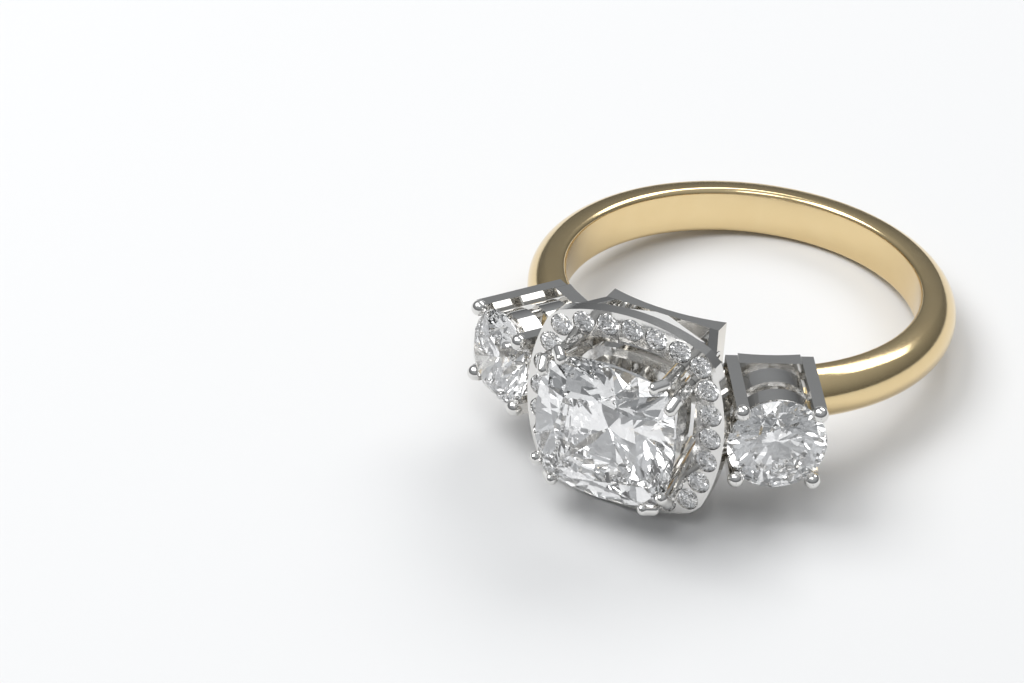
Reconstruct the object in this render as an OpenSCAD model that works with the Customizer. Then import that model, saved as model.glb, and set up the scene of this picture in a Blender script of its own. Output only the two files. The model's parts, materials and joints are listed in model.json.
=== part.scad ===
// Three-stone engagement ring: a cushion-cut centre stone in double claws, a pave halo
// on a pierced gallery, two round side stones in four-claw heads, and a court shank.
//
// The ring is drawn about its finger hole: the hole's axis is Z and the head faces -Y.
// lay_down() then lays it on its side, the way a ring rests on a table, with +Z up.
// Each head is drawn in a frame of its own: Z points out from the finger, and Y runs
// along the finger.

/* [Finger hole and shank] */
// Radius of the finger hole
bore_r = 8.5; // [7:0.1:11]
// Width of the shank along the finger
shank_w = 2.4; // [1.8:0.1:3.2]
// Thickness of the shank, from the hole to its crown
shank_t = 1.8; // [1.5:0.1:2.4]
// Radius of the shank's domed outside, as a share of its width
shank_dome = 0.53; // [0.51:0.01:0.8]
// Chamfer where the hole meets the shank's sides
edge_chamfer = 0.2; // [0.1:0.05:0.3]

/* [Bridge under the heads] */
// Thickness of the bridge
bridge_t = 0.6; // [0.5:0.1:1]

/* [Centre stone] */
// Width across the flats of the cushion
cushion_w = 6.9; // [6:0.1:8.3]
// Radius of the cushion's bowed sides, as a share of its width
cushion_bow = 1.3; // [1.1:0.05:2]
// Height of the centre stone's girdle above the bridge
cushion_lift = 5.75; // [5.2:0.05:7]
// Radius of a centre claw's wire
claw_r = 0.3; // [0.26:0.01:0.36]

/* [Halo] */
// Diameter of one halo stone
melee_d = 1.06; // [0.9:0.02:1.3]
// Gap between neighbouring halo stones
melee_gap = 0.14; // [0.08:0.02:0.3]
// Polished border outside and inside the row of halo stones
halo_border = 0.15; // [0.1:0.01:0.25]
// Gap, seen from the front, between the centre stone and the halo
halo_gap = 0.12; // [0:0.02:0.3]
// Thickness of the halo plate
halo_t = 0.65; // [0.62:0.01:1]
// Drop from the centre stone's girdle to the halo's face
halo_drop = 2; // [1.6:0.1:2.4]

/* [Gallery] */
// Thickness of the gallery's webs and posts
gallery_t = 0.42; // [0.3:0.02:0.6]
// Height of the gallery's base above the bridge, at the middle
base_t = 0.45; // [0.4:0.05:0.8]
// Width of the base's bars
base_bar = 0.75; // [0.6:0.05:1]
// Gap between the base of the gallery and the edge of the centre stone, seen from the side
base_inset = 0.1; // [-0.2:0.05:0.4]

/* [Side heads] */
// Diameter of a side stone
side_d = 4.5; // [3.7:0.1:5.4]
// Height of a side stone's girdle above the bridge
side_lift = 4.4; // [4:0.05:5.3]
// Width of a side claw's square post
post_w = 0.58; // [0.48:0.02:0.7]
// Radius of the bead that ends a side claw
bead_r = 0.38; // [0.32:0.01:0.44]
// Gap between the halo and a side head
head_gap = 0.05; // [0.03:0.01:0.3]

/* [Hidden] */
$fn = 64;
big = 40;
clear = 0.02;         // gap between a stone and its setting
seam = 0.01;          // gap at a soldered seam

// Proportions of the cuts, as shares of a stone's radius, and angles in degrees
girdle_share = 0.025;
table_share = 0.57;
crown_angle = 34.5;
pavilion_angle = 41;
star_rise = 0.55;         // height of the stars' outer points, as a share of the crown
lower_half_share = 0.78;  // reach of the lower halves, as a share of the pavilion
main_step = 45;           // angle from one main facet to the next

// Radii measured from the axis of the finger hole
shank_out = bore_r + shank_t;
dome_r = shank_dome * shank_w;
dome_c = shank_out - dome_r;
side_flat = dome_c + sqrt(pow(dome_r, 2) - pow(shank_w / 2, 2));
bridge_out = bore_r + bridge_t;
bridge_w = shank_w - 2 * edge_chamfer;

// Centre stone
cushion_half = cushion_w / 2;
cushion_bow_r = cushion_bow * cushion_w;
cushion_h = bridge_out + cushion_lift;
cushion_corner = corner_reach(cushion_half, cushion_bow_r) - 0.035 * cushion_half;
cushion_girdle = 0.03 * cushion_half;
cushion_table = 0.6;
cushion_table_z = 0.29 * cushion_half;
cushion_depth = cushion_half * tan(pavilion_angle) + cushion_girdle;

// Halo
halo_h = cushion_h - halo_drop;
halo_back = halo_h - halo_t;
halo_in = cushion_half + halo_gap;
halo_mid = halo_in + halo_border + melee_d / 2;
halo_out = halo_mid + melee_d / 2 + halo_border;
halo_bow = 2.1 * halo_mid;
halo_round = 0.12;    // how far the halo's corners are rounded back
melee_pitch = melee_d + melee_gap;
melee_corner = corner_reach(halo_mid, halo_bow) - 0.1;
melee_per_side = 2 * floor((melee_corner / sqrt(2) - 0.8 * melee_pitch) / melee_pitch) + 1;
halo_count = 4 * (melee_per_side + 1);
melee_sink = 0.08;    // the halo stones' girdles lie this far under the face

// Side heads. The halo's back edge settles the angle at which they clear it
side_r = side_d / 2;
side_h = bridge_out + side_lift;
post_at = (side_r + 0.21) / sqrt(2);
head_side = post_at + post_w / 2;
side_angle = atan(halo_out / halo_back) + asin((head_side + head_gap) / norm([halo_out, halo_back]));
post_foot = norm([bridge_out, head_side]) - 0.15;
bead_rise = 0.25;     // height of the beads' centres above the girdle
side_rail_out = head_side - 0.03;
side_rail_w = 0.2;
upper_rail_top = side_h - (side_r - side_rail_out + side_rail_w) * tan(pavilion_angle) - 0.15;
upper_rail_t = 0.95;
lower_rail_t = 1.2;
rail_space = 0.6;
upper_rail_h = upper_rail_top - upper_rail_t;
lower_rail_h = upper_rail_h - rail_space - lower_rail_t;
saddle_top = bridge_out + 0.75;
saddle_hole = 0.7 * side_r;

// Gallery. Its base fits between the side heads
base_x = bridge_out * sin(side_angle - asin(head_side / bridge_out)) - 2 * seam;
base_y = cushion_half + base_inset;
base_top = bridge_out + base_t;
apex_w = 0.6;         // width of a web where it stands on the base
web_reach = 0.66 * halo_out;

// Centre claws, as distances along a corner's diagonal and across it
knee_h = cushion_h - 0.1;
knee_diag = cushion_corner + 0.12;
knee_spread = 0.44;
foot_h = base_top - 0.2;
foot_diag = (base_x - base_bar / 2) * sqrt(2) - 0.1;
foot_spread = claw_r + 0.05;
tip_h = cushion_h + 0.27;
tip_diag = knee_diag - 0.3;
tip_spread = 0.6;
basket_h = halo_back - 0.45;
basket_t = 0.45;
basket_share = (basket_h - foot_h) / (knee_h - foot_h);
basket_diag = foot_diag + basket_share * (knee_diag - foot_diag);

// How the ring lies: on the halo's lower back edge and the back of the shank
tilt = atan((halo_out - shank_w / 2) / (halo_back + side_flat));
floor_lift = side_flat * sin(tilt) + shank_w / 2 * cos(tilt);
front_reach = tip_h * cos(tilt) + (tip_diag + tip_spread) / sqrt(2) * sin(tilt) + claw_r;
back_reach = dome_c * cos(tilt) + dome_r;

CORNERS = ["upper_right", "upper_left", "lower_left", "lower_right"];
SIDES = ["right", "upper", "left", "lower"];

// ---- Rules ----

// Distance from the middle to a bowed square's corner
function corner_reach(half, bow) =
    let (c = bow - half) sqrt(2) * (sqrt(2 * bow * bow - c * c) - c) / 2;

// Where a bowed side stands at a distance y from its middle
function side_x(half, bow, y) = half - bow + sqrt(bow * bow - y * y);

// How far out a bowed side stands at an azimuth
function outline_r(half, bow, azimuth) =
    let (c = half - bow) c * cos(azimuth) + sqrt(bow * bow - pow(c * sin(azimuth), 2));

function turned(p, a) = [p.x * cos(a) - p.y * sin(a), p.x * sin(a) + p.y * cos(a)];

// The halo stones' places, counted anticlockwise from the lower end of the right side
function melee_place(i) =
    let (
        k = i % (melee_per_side + 1),
        y = (k - (melee_per_side - 1) / 2) * melee_pitch,
        q = melee_corner / sqrt(2),
        p = k < melee_per_side ? [side_x(halo_mid, halo_bow, y), y] : [q, q]
    )
    turned(p, 90 * floor(i / (melee_per_side + 1)));

// The way along the row of halo stones at stone i
function melee_heading(i) =
    let (
        a = melee_place((i + halo_count - 1) % halo_count),
        b = melee_place((i + 1) % halo_count)
    )
    atan2(b.y - a.y, b.x - a.x);

// A point in a head's frame: its distance along the corner's diagonal, its offset across
// the diagonal, and its height
function on_corner(diag, across, h) = [(diag - across) / sqrt(2), (diag + across) / sqrt(2), h];

// ---- Placing ----

module lay_down()
    translate([0, (front_reach - back_reach) / 2, floor_lift]) rotate([-tilt, 0, 0]) children();

module in_head(angle) rotate([0, 0, angle]) rotate([90, 0, 0]) children();

// ---- Basic shapes ----

// A square with bowed sides, its corners rounded back to a given reach
module bowed_square(half, bow, reach) intersection() {
    intersection_for (a = [0:90:270]) rotate(a) translate([half - bow, 0]) circle(bow, $fn = 180);
    circle(reach);
}

module bowed_ring(out, in, bow, round_back) difference() {
    bowed_square(out, bow, corner_reach(out, bow) - round_back);
    bowed_square(in, bow, corner_reach(in, bow) - round_back);
}

// A bar of square section between two points, its ends level
module square_bar(a, b, w, h) hull() {
    translate(a - [w, w, 0] / 2) cube([w, w, h]);
    translate(b - [w, w, 0] / 2 - [0, 0, h]) cube([w, w, h]);
}

// A straight rod between two points
module rod(a, b, r) {
    d = b - a;
    translate(a) rotate([0, acos(d.z / norm(d)), atan2(d.y, d.x)]) cylinder(r = r, h = norm(d));
}

// A wire with round ends between two points
module wire(a, b, r) hull() {
    translate(a) sphere(r, $fn = 16);
    translate(b) sphere(r, $fn = 16);
}

// ---- Cut stones: the girdle lies at z = 0 and the table faces +Z ----

// Where two facets cross whose mains stand at the azimuths k and k + 1, p and q out
function crossing(k, p, q, z) =
    let (side = (q - p * cos(main_step)) / sin(main_step), flat = turned([p, side], k * main_step))
    [flat.x, flat.y, z];

// A point at a radius and an azimuth
function polar(r, azimuth, z) = [r * cos(azimuth), r * sin(azimuth), z];

// A brilliant cut with a table, 8 stars, 8 bezels, 16 upper halves, a girdle, 16 lower
// halves and 8 pavilion mains. The outline's radius is mains[0] at the azimuths 0, 90 and
// so on, mains[1] at 45 and so on, and between half-way from one to the next.
module brilliant(mains, between, table, table_z, girdle_z, depth) {
    star_z = girdle_z + star_rise * (table_z - girdle_z);
    half_z = -girdle_z - lower_half_share * (depth - girdle_z);
    crown = [for (i = [0, 1]) table[i] + (mains[i] - table[i]) * (table_z - star_z) / (table_z - girdle_z)];
    pavilion = [for (i = [0, 1]) mains[i] * (depth + half_z) / (depth - girdle_z)];
    outline = [for (j = [0:15]) j % 2 == 1 ? between : mains[j / 2 % 2]];
    points = concat(
        [for (k = [0:7]) polar(table[k % 2], k * main_step, table_z)],
        [for (k = [0:7]) crossing(k, crown[k % 2], crown[(k + 1) % 2], star_z)],
        [for (z = [girdle_z, -girdle_z], j = [0:15]) polar(outline[j], j * main_step / 2, z)],
        [for (k = [0:7]) crossing(k, pavilion[k % 2], pavilion[(k + 1) % 2], half_z)],
        [[0, 0, -depth]]
    );
    culet = 56;
    faces = concat(
        [[7, 6, 5, 4, 3, 2, 1, 0]],
        [for (k = [0:7]) let (n = (k + 1) % 8, g = 16 + 2 * k, h = 16 + 2 * n, below = g + 16) each [
            [n, 8 + k, k],
            [8 + k, g, 8 + (k + 7) % 8, k],
            [g + 1, g, 8 + k],
            [h, g + 1, 8 + k],
            [g + 1, below + 1, below, g],
            [h, h + 16, below + 1, g + 1],
            [below + 1, 48 + k, below],
            [h + 16, 48 + k, below + 1],
            [48 + k, culet, 48 + (k + 7) % 8, below]
        ]]
    );
    polyhedron(points, faces);
}

module round_brilliant(d) {
    r = d / 2;
    girdle = r * girdle_share;
    table = r * table_share;
    brilliant([r, r], r, [table, table], girdle + (r - table) * tan(crown_angle), girdle,
        girdle + r * tan(pavilion_angle));
}

module cushion_brilliant() {
    mains = [cushion_half, cushion_corner];
    between = outline_r(cushion_half, cushion_bow_r, main_step / 2);
    brilliant(mains, between, mains * cushion_table, cushion_table_z, cushion_girdle, cushion_depth);
}

// ---- Shank and bridge ----

module shank_profile() difference() {
    intersection() {
        translate([bore_r, -shank_w / 2]) square([shank_t, shank_w]);
        translate([dome_c, 0]) circle(dome_r);
    }
    for (s = [-1, 1]) translate([bore_r, s * shank_w / 2]) rotate(45)
        square(edge_chamfer * sqrt(2), center = true);
}

// The side of the ring between the outer faces of the two side heads
module between_heads(grow) intersection_for (s = [-1, 1]) in_head(s * side_angle)
    translate([s > 0 ? -big : -head_side - grow, -big / 2, -bore_r])
        cube([big + head_side + grow, big, big]);

module shank() color("goldenrod") difference() {
    rotate_extrude($fn = 120) shank_profile();
    between_heads(seam);
}

module head_bridge() color("silver") intersection() {
    rotate_extrude($fn = 120) translate([bore_r, -bridge_w / 2]) square([bridge_t, bridge_w]);
    between_heads(0);
}

// What a seat on the bridge is cut to
module bridge_cut() translate([0, 0, -big / 2]) cylinder(r = bridge_out + seam, h = big, $fn = 120);

// ---- Side heads ----

module side_posts(w, top) for (x = [-1, 1], y = [-1, 1])
    translate([x * post_at - w / 2, y * post_at - w / 2, post_foot]) cube([w, w, top - post_foot]);

module side_claws(angle) color("silver") in_head(angle) difference() {
    union() {
        side_posts(post_w, side_h + bead_rise);
        for (x = [-1, 1], y = [-1, 1]) translate([x * post_at, y * post_at, side_h + bead_rise])
            sphere(bead_r);
    }
    translate([0, 0, side_h]) round_brilliant(side_d + 2 * clear);
}

module side_rail(angle, h, t) color("silver") in_head(angle) difference() {
    translate([0, 0, h]) cylinder(r = side_rail_out, h = t);
    translate([0, 0, h - 1]) cylinder(r = side_rail_out - side_rail_w, h = t + 2);
    side_posts(post_w + 2 * seam, side_h);
}

// The saddle stands on the bridge and carries the claws' feet
module side_saddle(angle) color("silver") difference() {
    in_head(angle) difference() {
        translate([-head_side, -head_side, bore_r])
            cube([2 * head_side, 2 * head_side, saddle_top - bore_r]);
        translate([0, 0, bore_r - 1]) cylinder(r = saddle_hole, h = big);
        translate([0, 0, -1]) side_posts(post_w + 2 * seam, side_h);
        for (x = [-1, 1], y = [-1, 1]) translate([x, y, 0] * head_side + [0, 0, big / 2])
            cube([2 * seam, 2 * seam, big], center = true);
    }
    bridge_cut();
}

// ---- Centre head ----

module claw_pair(turn) rotate([0, 0, turn]) for (s = [-1, 1]) {
    foot = on_corner(foot_diag, s * foot_spread, foot_h);
    knee = on_corner(knee_diag, s * knee_spread, knee_h);
    tip = on_corner(tip_diag, s * tip_spread, tip_h);
    wire(foot, knee, claw_r);
    wire(knee, tip, claw_r);
}

module centre_claws(turn) color("silver") in_head(0) difference() {
    claw_pair(turn);
    translate([0, 0, cushion_h]) scale(1 + clear / cushion_half) cushion_brilliant();
}

// The straight legs of all the claws, as what they pass through is cut
module claw_legs() for (turn = [0:90:270], s = [-1, 1]) rotate([0, 0, turn]) {
    foot = on_corner(foot_diag, s * foot_spread, foot_h);
    knee = on_corner(knee_diag, s * knee_spread, knee_h);
    rod(foot, knee, claw_r + seam);
    translate(foot) sphere(claw_r + seam);
}

module centre_basket_rail() color("silver") in_head(0) difference() {
    translate([0, 0, basket_h]) linear_extrude(basket_t)
        bowed_ring(basket_diag / sqrt(2) + 0.15, basket_diag / sqrt(2) - 0.3, halo_bow, 0.3);
    claw_legs();
}

module stone_seat() {
    r = melee_d / 2 + clear;
    hole = r * 0.5;
    depth = (r - hole) * tan(pavilion_angle);
    translate([0, 0, -clear - 2 * r * girdle_share]) {
        cylinder(r = r, h = 1);
        translate([0, 0, -depth]) cylinder(r1 = hole, r2 = r, h = depth);
        translate([0, 0, -2]) cylinder(r = hole, h = 2);
    }
}

module halo_plate() color("silver") in_head(0) difference() {
    translate([0, 0, halo_back]) linear_extrude(halo_t) bowed_ring(halo_out, halo_in, halo_bow, halo_round);
    for (i = [0:halo_count - 1]) translate(melee_place(i)) translate([0, 0, halo_h - melee_sink])
        stone_seat();
    claw_legs();
}

module halo_stone(i) color("white") in_head(0)
    translate(melee_place(i)) translate([0, 0, halo_h - melee_sink])
        rotate([0, 0, melee_heading(i)]) round_brilliant(melee_d);

module gallery_base() color("silver") difference() {
    in_head(0) difference() {
        translate([-base_x, -base_y, bore_r]) cube([2 * base_x, 2 * base_y, base_top - bore_r]);
        translate([base_bar - base_x, base_bar - base_y, 0])
            cube([2 * (base_x - base_bar), 2 * (base_y - base_bar), big]);
        claw_legs();
    }
    bridge_cut();
}

// A corner post runs from the base's corner out to the halo's corner
module gallery_post(sx, sy) color("silver") in_head(0) {
    reach = (corner_reach(halo_out, halo_bow) - halo_round) / sqrt(2) - gallery_t * 0.6;
    square_bar([sx * (base_x - gallery_t / 2), sy * (base_y - gallery_t / 2), base_top + seam],
        [sx * reach, sy * reach, halo_back - seam], gallery_t, 0.1);
}

// A web stands on the middle of one of the base's bars and widens towards the halo
module gallery_web(turn) color("silver") in_head(0) rotate([0, 0, turn]) {
    foot = turn % 180 == 0 ? base_x : base_y;
    head = side_x(halo_out, halo_bow, web_reach);
    hull() {
        translate([foot - gallery_t, -apex_w / 2, base_top + seam]) cube([gallery_t, apex_w, 0.1]);
        translate([head - gallery_t, -web_reach, halo_back - seam - 0.1])
            cube([gallery_t, 2 * web_reach, 0.1]);
    }
}

// ---- The pieces ----

module piece(name) lay_down() children();

piece("shank") shank();
piece("head_bridge") head_bridge();
piece("centre_stone") color("white") in_head(0) translate([0, 0, cushion_h]) cushion_brilliant();
piece("centre_basket_rail") centre_basket_rail();
piece("halo_plate") halo_plate();
piece("gallery_base") gallery_base();
for (i = [0:3]) {
    piece(str("centre_claws_", CORNERS[i])) centre_claws(90 * i);
    piece(str("gallery_post_", CORNERS[i])) gallery_post(i == 0 || i == 3 ? 1 : -1, i < 2 ? 1 : -1);
    piece(str("gallery_web_", SIDES[i])) gallery_web(90 * i);
}
for (s = [-1, 1]) {
    side = s < 0 ? "left" : "right";
    angle = s * side_angle;
    piece(str(side, "_side_stone")) color("white") in_head(angle)
        translate([0, 0, side_h]) round_brilliant(side_d);
    piece(str(side, "_side_claws")) side_claws(angle);
    piece(str(side, "_side_upper_rail")) side_rail(angle, upper_rail_h, upper_rail_t);
    piece(str(side, "_side_lower_rail")) side_rail(angle, lower_rail_h, lower_rail_t);
    piece(str(side, "_side_saddle")) side_saddle(angle);
}
for (i = [1:halo_count]) piece(str("halo_stone_", i)) halo_stone(i - 1);
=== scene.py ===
# Looks of a three-stone engagement ring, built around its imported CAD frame.
# Pieces are made in millimetres, in the frame of the head they belong to: Z points out from
# the finger, Y runs along the finger and X runs round it. A head's matrix then puts them in
# the frame's metres.
import json
import math

import bmesh
import bpy
from mathutils import Matrix, Vector


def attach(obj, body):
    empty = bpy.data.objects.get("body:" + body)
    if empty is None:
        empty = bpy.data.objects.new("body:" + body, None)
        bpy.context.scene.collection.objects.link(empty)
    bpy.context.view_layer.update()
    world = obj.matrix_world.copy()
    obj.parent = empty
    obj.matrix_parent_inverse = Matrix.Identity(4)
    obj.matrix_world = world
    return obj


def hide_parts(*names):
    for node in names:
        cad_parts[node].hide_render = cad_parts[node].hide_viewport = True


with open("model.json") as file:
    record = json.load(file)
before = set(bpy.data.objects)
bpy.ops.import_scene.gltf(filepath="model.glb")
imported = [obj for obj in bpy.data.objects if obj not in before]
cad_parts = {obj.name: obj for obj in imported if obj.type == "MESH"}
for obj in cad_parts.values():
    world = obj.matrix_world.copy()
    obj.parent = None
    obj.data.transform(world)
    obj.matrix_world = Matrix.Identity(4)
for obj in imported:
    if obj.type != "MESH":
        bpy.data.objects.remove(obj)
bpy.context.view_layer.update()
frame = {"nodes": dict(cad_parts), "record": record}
MM = 0.001
TAU = 2 * math.pi


# ---- Frames and sizes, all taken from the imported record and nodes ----

bore = next(m for m in frame["record"]["mounts"] if m["name"] == "finger_bore")
BORE_R = bore["dims"]["r_mm"]
RING_CENTRE = Vector(bore["pos_m"])
FINGER_AXIS = Vector(bore["axis"]).normalized()


def head_matrix(angle):
    """Millimetres in the frame of the head at this angle (radians) to the frame's metres."""
    across = Vector((1, 0, 0))
    back = FINGER_AXIS.cross(across)
    tangent = math.cos(angle) * across + math.sin(angle) * back
    outward = math.sin(angle) * across - math.cos(angle) * back
    turn = Matrix((tangent, FINGER_AXIS, outward)).transposed().to_4x4()
    return Matrix.Translation(RING_CENTRE) @ turn @ Matrix.Scale(MM, 4)


def extent(node, angle=0.0):
    """Lowest and highest corner of a CAD node, in millimetres, in the frame of a head."""
    inverse = head_matrix(angle).inverted()
    points = [inverse @ v.co for v in frame["nodes"][node].data.vertices]
    low = Vector(min(p[i] for p in points) for i in range(3))
    high = Vector(max(p[i] for p in points) for i in range(3))
    return low, high


def centroid(node):
    """Mean of a CAD node's vertices, in metres."""
    points = [v.co for v in frame["nodes"][node].data.vertices]
    return sum(points, Vector()) / len(points)


side_centre = head_matrix(0).inverted() @ centroid("right_side_stone")
SIDE_ANGLE = math.atan2(side_centre.x, side_centre.z)
HEADS = {"left": -SIDE_ANGLE, "right": SIDE_ANGLE}

_, shank_high = extent("shank")
SHANK_OUT = shank_high.x
SHANK_HALF = shank_high.y
LAND_HALF = bore["dims"]["length_mm"] / 2
centre_low, centre_high = extent("centre_stone")
CUSHION_HALF = centre_high.y
CUSHION_CULET = centre_low.z

_, side_high = extent("right_side_stone", SIDE_ANGLE)
SIDE_R = side_high.y
SIDE_TOP = side_high.z
_, saddle_high = extent("right_side_saddle", SIDE_ANGLE)
HEAD_SIDE = saddle_high.x


# ---- Materials ----


def new_material(name):
    material = bpy.data.materials.new(name)
    material.use_nodes = True
    tree = material.node_tree
    return material, tree, tree.nodes["Principled BSDF"]


def add(tree, kind, **values):
    node = tree.nodes.new(kind)
    for key, value in values.items():
        if hasattr(node, key):
            setattr(node, key, value)
        else:
            node.inputs[key.replace("_", " ")].default_value = value
    return node


def gold(name, colour, shade, roughness, polish_lines):
    """Polished gold: a fine hairline polish, soft unevenness and a slightly varied colour."""
    material, tree, shader = new_material(name)
    link = tree.links.new
    shader.inputs["Metallic"].default_value = 1.0
    place = add(tree, "ShaderNodeTexCoord")
    scaled = add(tree, "ShaderNodeMapping")
    scaled.inputs["Scale"].default_value = (1 / MM, 1 / MM, 1 / MM)
    link(place.outputs["Object"], scaled.inputs["Vector"])

    cloud = add(tree, "ShaderNodeTexNoise", Scale=0.9, Detail=4.0, Roughness=0.55)
    link(scaled.outputs["Vector"], cloud.inputs["Vector"])
    tint = add(tree, "ShaderNodeMix", data_type="RGBA")
    tint.inputs["A"].default_value = (*colour, 1)
    tint.inputs["B"].default_value = (*shade, 1)
    link(cloud.outputs["Fac"], tint.inputs["Factor"])
    link(tint.outputs["Result"], shader.inputs["Base Color"])

    grain = add(tree, "ShaderNodeTexNoise", Scale=9.0, Detail=6.0, Roughness=0.65)
    link(scaled.outputs["Vector"], grain.inputs["Vector"])
    worn = add(tree, "ShaderNodeMapRange")
    worn.inputs["From Min"].default_value = 0.3
    worn.inputs["From Max"].default_value = 0.75
    worn.inputs["To Min"].default_value = roughness * 0.75
    worn.inputs["To Max"].default_value = roughness * 1.5
    link(grain.outputs["Fac"], worn.inputs["Value"])
    link(worn.outputs["Result"], shader.inputs["Roughness"])

    lines = add(tree, "ShaderNodeMapping")
    lines.inputs["Scale"].default_value = (3 / MM, 3 / MM, 40 / MM)
    link(place.outputs["Object"], lines.inputs["Vector"])
    hair = add(tree, "ShaderNodeTexNoise", Scale=1.0, Detail=3.0)
    link(lines.outputs["Vector"], hair.inputs["Vector"])
    fine = add(tree, "ShaderNodeBump", Strength=polish_lines, Distance=0.002 * MM)
    link(hair.outputs["Fac"], fine.inputs["Height"])
    soft = add(tree, "ShaderNodeBump", Strength=0.35, Distance=0.01 * MM)
    link(cloud.outputs["Fac"], soft.inputs["Height"])
    link(fine.outputs["Normal"], soft.inputs["Normal"])
    link(soft.outputs["Normal"], shader.inputs["Normal"])
    return material


def diamond(name):
    """Clear diamond. A trace of polish varies how sharply each face mirrors."""
    material, tree, shader = new_material(name)
    shader.inputs["Base Color"].default_value = (1, 1, 1, 1)
    shader.inputs["Transmission Weight"].default_value = 1.0
    shader.inputs["IOR"].default_value = 2.417
    place = add(tree, "ShaderNodeTexCoord")
    scaled = add(tree, "ShaderNodeMapping")
    scaled.inputs["Scale"].default_value = (1 / MM, 1 / MM, 1 / MM)
    tree.links.new(place.outputs["Object"], scaled.inputs["Vector"])
    polish = add(tree, "ShaderNodeTexNoise", Scale=6.0, Detail=3.0)
    tree.links.new(scaled.outputs["Vector"], polish.inputs["Vector"])
    trace = add(tree, "ShaderNodeMapRange")
    trace.inputs["To Max"].default_value = 0.01
    tree.links.new(polish.outputs["Fac"], trace.inputs["Value"])
    tree.links.new(trace.outputs["Result"], shader.inputs["Roughness"])
    return material


YELLOW_GOLD = gold("yellow_gold", (0.83, 0.66, 0.38), (0.78, 0.60, 0.33), 0.13, 0.5)
WHITE_GOLD = gold("white_gold", (0.80, 0.79, 0.77), (0.74, 0.73, 0.71), 0.07, 0.25)
DIAMOND = diamond("diamond")


# ---- Making pieces ----


SMOOTH_BELOW = math.radians(32)


def finish_piece(name, bm, matrix, material, smooth_below=SMOOTH_BELOW):
    """Turns a bmesh in millimetres into a piece of the ring. FLAT leaves no edge smooth."""
    bmesh.ops.recalc_face_normals(bm, faces=bm.faces)
    mesh = bpy.data.meshes.new(name)
    bm.to_mesh(mesh)
    bm.free()
    mesh.transform(matrix)
    mesh.materials.append(material)
    if smooth_below:
        mesh.shade_smooth()
        mesh.set_sharp_from_angle(angle=smooth_below)
    piece = bpy.data.objects.new(name, mesh)
    bpy.context.scene.collection.objects.link(piece)
    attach(piece, "root")
    return piece


def skin(bm, rows):
    """A closed skin over successive rows of points, with a face over each end."""
    rings = [[bm.verts.new(p) for p in row] for row in rows]
    count = len(rings[0])
    for a, b in zip(rings, rings[1:]):
        for j in range(count):
            k = (j + 1) % count
            bm.faces.new((a[j], a[k], b[k], b[j]))
    bm.faces.new(rings[0])
    bm.faces.new(rings[-1])


# ---- Cut stones ----


def cut_stone(outline, top, bottom, planes):
    """A prism over an outline, cut by planes given as (point, outward normal)."""
    bm = bmesh.new()
    skin(bm, [[(x, y, bottom) for x, y in outline], [(x, y, top) for x, y in outline]])
    for point, normal in planes:
        everything = bm.verts[:] + bm.edges[:] + bm.faces[:]
        bmesh.ops.bisect_plane(
            bm, geom=everything, dist=1e-7, plane_co=point, plane_no=normal, clear_outer=True
        )
        rim = [e for e in bm.edges if e.is_boundary]
        if rim:
            bmesh.ops.contextual_create(bm, geom=rim)
    bmesh.ops.remove_doubles(bm, verts=bm.verts, dist=1e-5)
    return bm


def plane_through(a, b, c):
    """A plane's point and its normal, which points away from the stone's middle."""
    normal = (b - a).cross(c - a).normalized()
    if normal.dot(a) < 0:
        normal = -normal
    return a, normal


def polar(radius, angle, z):
    return Vector((radius * math.cos(angle), radius * math.sin(angle), z))


MAINS = 8
STAR_RISE = 0.55
LOWER_HALF_REACH = 0.78


def brilliant_planes(reach, table, crown_z, girdle_z, depth):
    """Facets of a brilliant. reach(angle) is the outline, table(angle) the table's corner."""
    step = TAU / MAINS
    planes = [(Vector((0, 0, crown_z)), Vector((0, 0, 1)))]
    star_z = girdle_z + STAR_RISE * (crown_z - girdle_z)
    half_z = -girdle_z - LOWER_HALF_REACH * (depth - girdle_z)

    def crossing(k, share_of, z):
        p, q = share_of(k * step), share_of((k + 1) * step)
        sideways = (q - p * math.cos(step)) / math.sin(step)
        c, s = math.cos(k * step), math.sin(k * step)
        return Vector((p * c - sideways * s, p * s + sideways * c, z))

    def crown(angle):
        share = (crown_z - star_z) / (crown_z - girdle_z)
        return table(angle) + (reach(angle) - table(angle)) * share

    def pavilion(angle):
        return reach(angle) * (depth + half_z) / (depth - girdle_z)

    culet = Vector((0, 0, -depth))
    for k in range(MAINS):
        this = k * step
        after = (k + 1) * step
        rim = polar(reach(this), this, girdle_z)
        next_rim = polar(reach(after), after, girdle_z)
        middle = polar(reach(this + step / 2), this + step / 2, girdle_z)
        corner = polar(table(this), this, crown_z)
        next_corner = polar(table(after), after, crown_z)
        along = polar(1, this + TAU / 4, 0)
        down = Vector((0, 0, -2 * girdle_z))
        knee = crossing(k, crown, star_z)
        hip = crossing(k, pavilion, half_z)
        planes.append(plane_through(corner, rim, rim + along))
        planes.append(plane_through(corner, next_corner, knee))
        planes.append(plane_through(rim, middle, knee))
        planes.append(plane_through(next_rim, middle, knee))
        planes.append(plane_through(culet, rim + down, rim + down + along))
        planes.append(plane_through(rim + down, middle + down, hip))
        planes.append(plane_through(next_rim + down, middle + down, hip))
    return planes


def bowed_radius(half, bow, angle):
    """How far out the side of a bowed square stands at an angle from the side's middle."""
    turned = (angle + TAU / 8) % (TAU / 4) - TAU / 8
    c = half - bow
    return c * math.cos(turned) + math.sqrt(bow * bow - (c * math.sin(turned)) ** 2)


# ---- Bowed square with rounded corners ----


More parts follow.
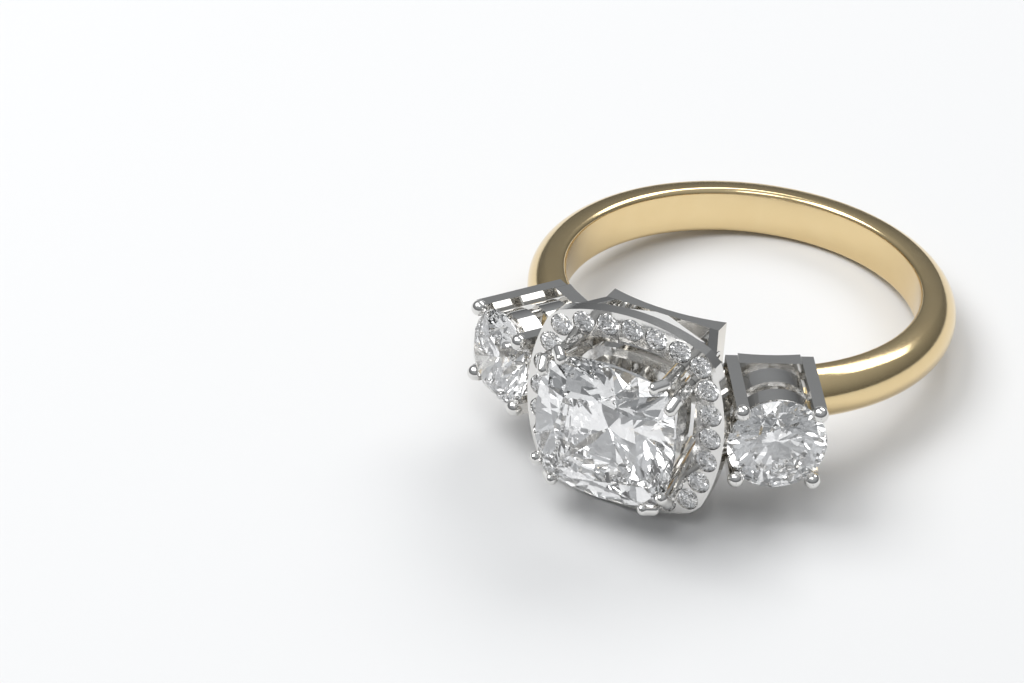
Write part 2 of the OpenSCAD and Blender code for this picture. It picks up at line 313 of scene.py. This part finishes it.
def bowed_path(half, bow, corner, side_steps=28, corner_steps=14):
    """(centre, radius, angle) all round a bowed square with rounded corners."""
    c = half - bow
    q = (c + math.sqrt(2 * (bow - corner) ** 2 - c * c)) / 2
    spread = math.atan2(q, q - c)
    path = []
    for quarter in range(4):
        turn = quarter * TAU / 4
        spin = Matrix.Rotation(turn, 2)
        side = spin @ Vector((c, 0))
        rounding = spin @ Vector((q, q))
        for i in range(side_steps):
            path.append((side, bow, turn - spread + 2 * spread * i / side_steps))
        for i in range(corner_steps):
            path.append((rounding, corner, turn + spread + (TAU / 4 - 2 * spread) * i / corner_steps))
    return path


def on_path(step):
    centre, radius, angle = step
    return centre + radius * Vector((math.cos(angle), math.sin(angle)))


# ---- The shank ----


DOME_RADIUS = 1.27
EXTRA_ROUNDING = 0.08
DOME_STEPS = 24
ROUNDING_STEPS = 6


def shank_section():
    """(radius, y) round the shank: a domed outside and a flat inside with rounded edges."""
    centre = SHANK_OUT - DOME_RADIUS
    half_turn = math.asin(SHANK_HALF / DOME_RADIUS)
    dome = []
    for i in range(DOME_STEPS + 1):
        a = half_turn * (2 * i / DOME_STEPS - 1)
        dome.append((centre + DOME_RADIUS * math.cos(a), DOME_RADIUS * math.sin(a)))
    rounding = SHANK_HALF - LAND_HALF + EXTRA_ROUNDING
    inner = []
    for i in range(ROUNDING_STEPS + 1):
        a = TAU / 4 * i / ROUNDING_STEPS
        inner.append((BORE_R + rounding * (1 - math.sin(a)), SHANK_HALF - rounding * (1 - math.cos(a))))
    return dome + inner + [(r, -y) for r, y in reversed(inner)]


def bent_bar(section, first, last, steps):
    """A bar round the finger. first(r) and last(r) are its ends' angles at radius r."""
    bm = bmesh.new()
    rows = []
    for i in range(steps + 1):
        t = i / steps
        row = []
        for r, y in section:
            a = first(r) * (1 - t) + last(r) * t
            row.append((r * math.sin(a), y, r * math.cos(a)))
        rows.append(row)
    skin(bm, rows)
    return bm


def head_edge(r):
    return SIDE_ANGLE + math.asin(HEAD_SIDE / r)


def far_head_edge(r):
    return TAU - head_edge(r)


SHANK_STEPS = 220
band = bent_bar(shank_section(), head_edge, far_head_edge, SHANK_STEPS)
shank = finish_piece("shank_band", band, head_matrix(0), YELLOW_GOLD)
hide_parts("shank")

# ---- Stones ----

FLAT = 0
PAVILION_ANGLE = math.radians(41)

CUSHION_GIRDLE = 0.03 * CUSHION_HALF
CUSHION_CROWN = 0.29 * CUSHION_HALF
CUSHION_TABLE = 0.6
CUSHION_BOW = 1.3 * 2 * CUSHION_HALF
CUSHION_CORNER_R = 1.15
CORNER_TRIM = 0.035 * CUSHION_HALF
CUSHION_DEPTH = CUSHION_HALF * math.tan(PAVILION_ANGLE) + CUSHION_GIRDLE
CUSHION_BLANK = (2.0, -4.0)


def cushion_reach(angle):
    """Distance to the girdle. A little is trimmed where the corner is rounded."""
    reach = bowed_radius(CUSHION_HALF, CUSHION_BOW, angle)
    at_corner = abs(angle % (TAU / 4) - TAU / 8) < 0.01
    return reach - CORNER_TRIM if at_corner else reach


def cushion_table(angle):
    return CUSHION_TABLE * cushion_reach(angle)


outline = [tuple(on_path(step)) for step in bowed_path(CUSHION_HALF, CUSHION_BOW, CUSHION_CORNER_R)]
planes = brilliant_planes(cushion_reach, cushion_table, CUSHION_CROWN, CUSHION_GIRDLE, CUSHION_DEPTH)
place = head_matrix(0) @ Matrix.Translation((0, 0, CUSHION_CULET + CUSHION_DEPTH))
cushion = cut_stone(outline, *CUSHION_BLANK, planes)
stone = finish_piece("centre_cushion", cushion, place, DIAMOND, FLAT)
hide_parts("centre_stone")

ROUND_SEGMENTS = 96
ROUND_TABLE = 0.57 * SIDE_R
ROUND_GIRDLE = 0.025 * SIDE_R
ROUND_CROWN = ROUND_GIRDLE + (SIDE_R - ROUND_TABLE) * math.tan(math.radians(34.5))
ROUND_DEPTH = ROUND_GIRDLE + SIDE_R * math.tan(PAVILION_ANGLE)
ROUND_BLANK = (2.0, -3.0)


def round_reach(angle):
    return SIDE_R


def round_table(angle):
    return ROUND_TABLE


outline = [tuple(polar(SIDE_R, TAU * i / ROUND_SEGMENTS, 0).xy) for i in range(ROUND_SEGMENTS)]
for side, angle in HEADS.items():
    planes = brilliant_planes(round_reach, round_table, ROUND_CROWN, ROUND_GIRDLE, ROUND_DEPTH)
    place = head_matrix(angle) @ Matrix.Translation((0, 0, SIDE_TOP - ROUND_CROWN))
    brilliant = cut_stone(outline, *ROUND_BLANK, planes)
    stone = finish_piece(f"{side}_brilliant", brilliant, place, DIAMOND, FLAT)
    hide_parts(f"{side}_side_stone")

# The rest of the CAD nodes keep their shape and take a better material.
for name, node in frame["nodes"].items():
    node.data.materials.clear()
    node.data.materials.append(DIAMOND if name.startswith("halo_stone_") else WHITE_GOLD)

# ---- Floor, light and camera ----

bpy.ops.mesh.primitive_plane_add(size=4, location=(0, 0, 0))
floor = bpy.context.object
floor.name = "floor"
material, tree, shader = new_material("pale_floor")
shader.inputs["Base Color"].default_value = (0.78, 0.78, 0.78, 1)
shader.inputs["Roughness"].default_value = 0.9
floor.data.materials.append(material)


def direction_to(azimuth, elevation):
    """Direction away from the ring. Azimuth 0 is in front of the head and 90 is on its right."""
    a, e = math.radians(azimuth), math.radians(elevation)
    return Vector((math.sin(a) * math.cos(e), -math.cos(a) * math.cos(e), math.sin(e)))


def softbox(name, azimuth, elevation, distance, width, height, watts):
    """A rectangular lamp that faces the ring. Angles are in degrees and lengths in metres."""
    data = bpy.data.lights.new(name, "AREA")
    data.shape = "RECTANGLE"
    data.size = width
    data.size_y = height
    data.energy = watts
    lamp = bpy.data.objects.new(name, data)
    away = direction_to(azimuth, elevation)
    lamp.location = RING_CENTRE + away * distance
    lamp.rotation_euler = away.to_track_quat("Z", "Y").to_euler()
    bpy.context.scene.collection.objects.link(lamp)


softbox("key_softbox", -70, 60, 0.30, 0.22, 0.16, 0.55)
softbox("back_softbox", 170, 45, 0.32, 0.26, 0.14, 0.4)
softbox("front_softbox", 20, 70, 0.35, 0.12, 0.12, 0.15)

# The sky is dim at the horizon and brighter overhead, which gives the stones some contrast.
HORIZON_LIGHT, OVERHEAD_LIGHT = 0.04, 0.55

world = bpy.data.worlds.new("studio")
bpy.context.scene.world = world
world.use_nodes = True
sky = world.node_tree
direction = sky.nodes.new("ShaderNodeTexCoord")
parts = sky.nodes.new("ShaderNodeSeparateXYZ")
fade = sky.nodes.new("ShaderNodeMapRange")
fade.inputs["From Min"].default_value = -0.2
fade.inputs["From Max"].default_value = 1.0
fade.inputs["To Min"].default_value = HORIZON_LIGHT
fade.inputs["To Max"].default_value = OVERHEAD_LIGHT
sky.links.new(direction.outputs["Generated"], parts.inputs["Vector"])
sky.links.new(parts.outputs["Z"], fade.inputs["Value"])
sky.links.new(fade.outputs["Result"], sky.nodes["Background"].inputs["Strength"])
sky.nodes["Background"].inputs["Color"].default_value = (0.94, 0.97, 1.0, 1)

# The camera: angles in degrees, distance and aim in millimetres of the frame.
VIEW_AZIMUTH, VIEW_ELEVATION, VIEW_ROLL = 28.63, 38.88, -1.37
VIEW_DISTANCE = 168.06
AIM = Vector((-9.12, -3.61, 1.25))
FOCAL_LENGTH = 123.05

camera = bpy.data.objects.new("camera", bpy.data.cameras.new("camera"))
bpy.context.scene.collection.objects.link(camera)
away = direction_to(VIEW_AZIMUTH, VIEW_ELEVATION)
camera.location = (AIM + away * VIEW_DISTANCE) * MM
level = away.to_track_quat("Z", "Y").to_matrix()
roll = Matrix.Rotation(math.radians(VIEW_ROLL), 3, "Z")
camera.rotation_euler = (level @ roll).to_euler()
camera.data.lens = FOCAL_LENGTH
camera.data.sensor_width = 36
camera.data.clip_start = 0.005
bpy.context.scene.camera = camera

bpy.context.scene.view_settings.view_transform = "Standard"
cycles = bpy.context.scene.cycles
cycles.max_bounces = 24
cycles.glossy_bounces = 16
cycles.transmission_bounces = 20
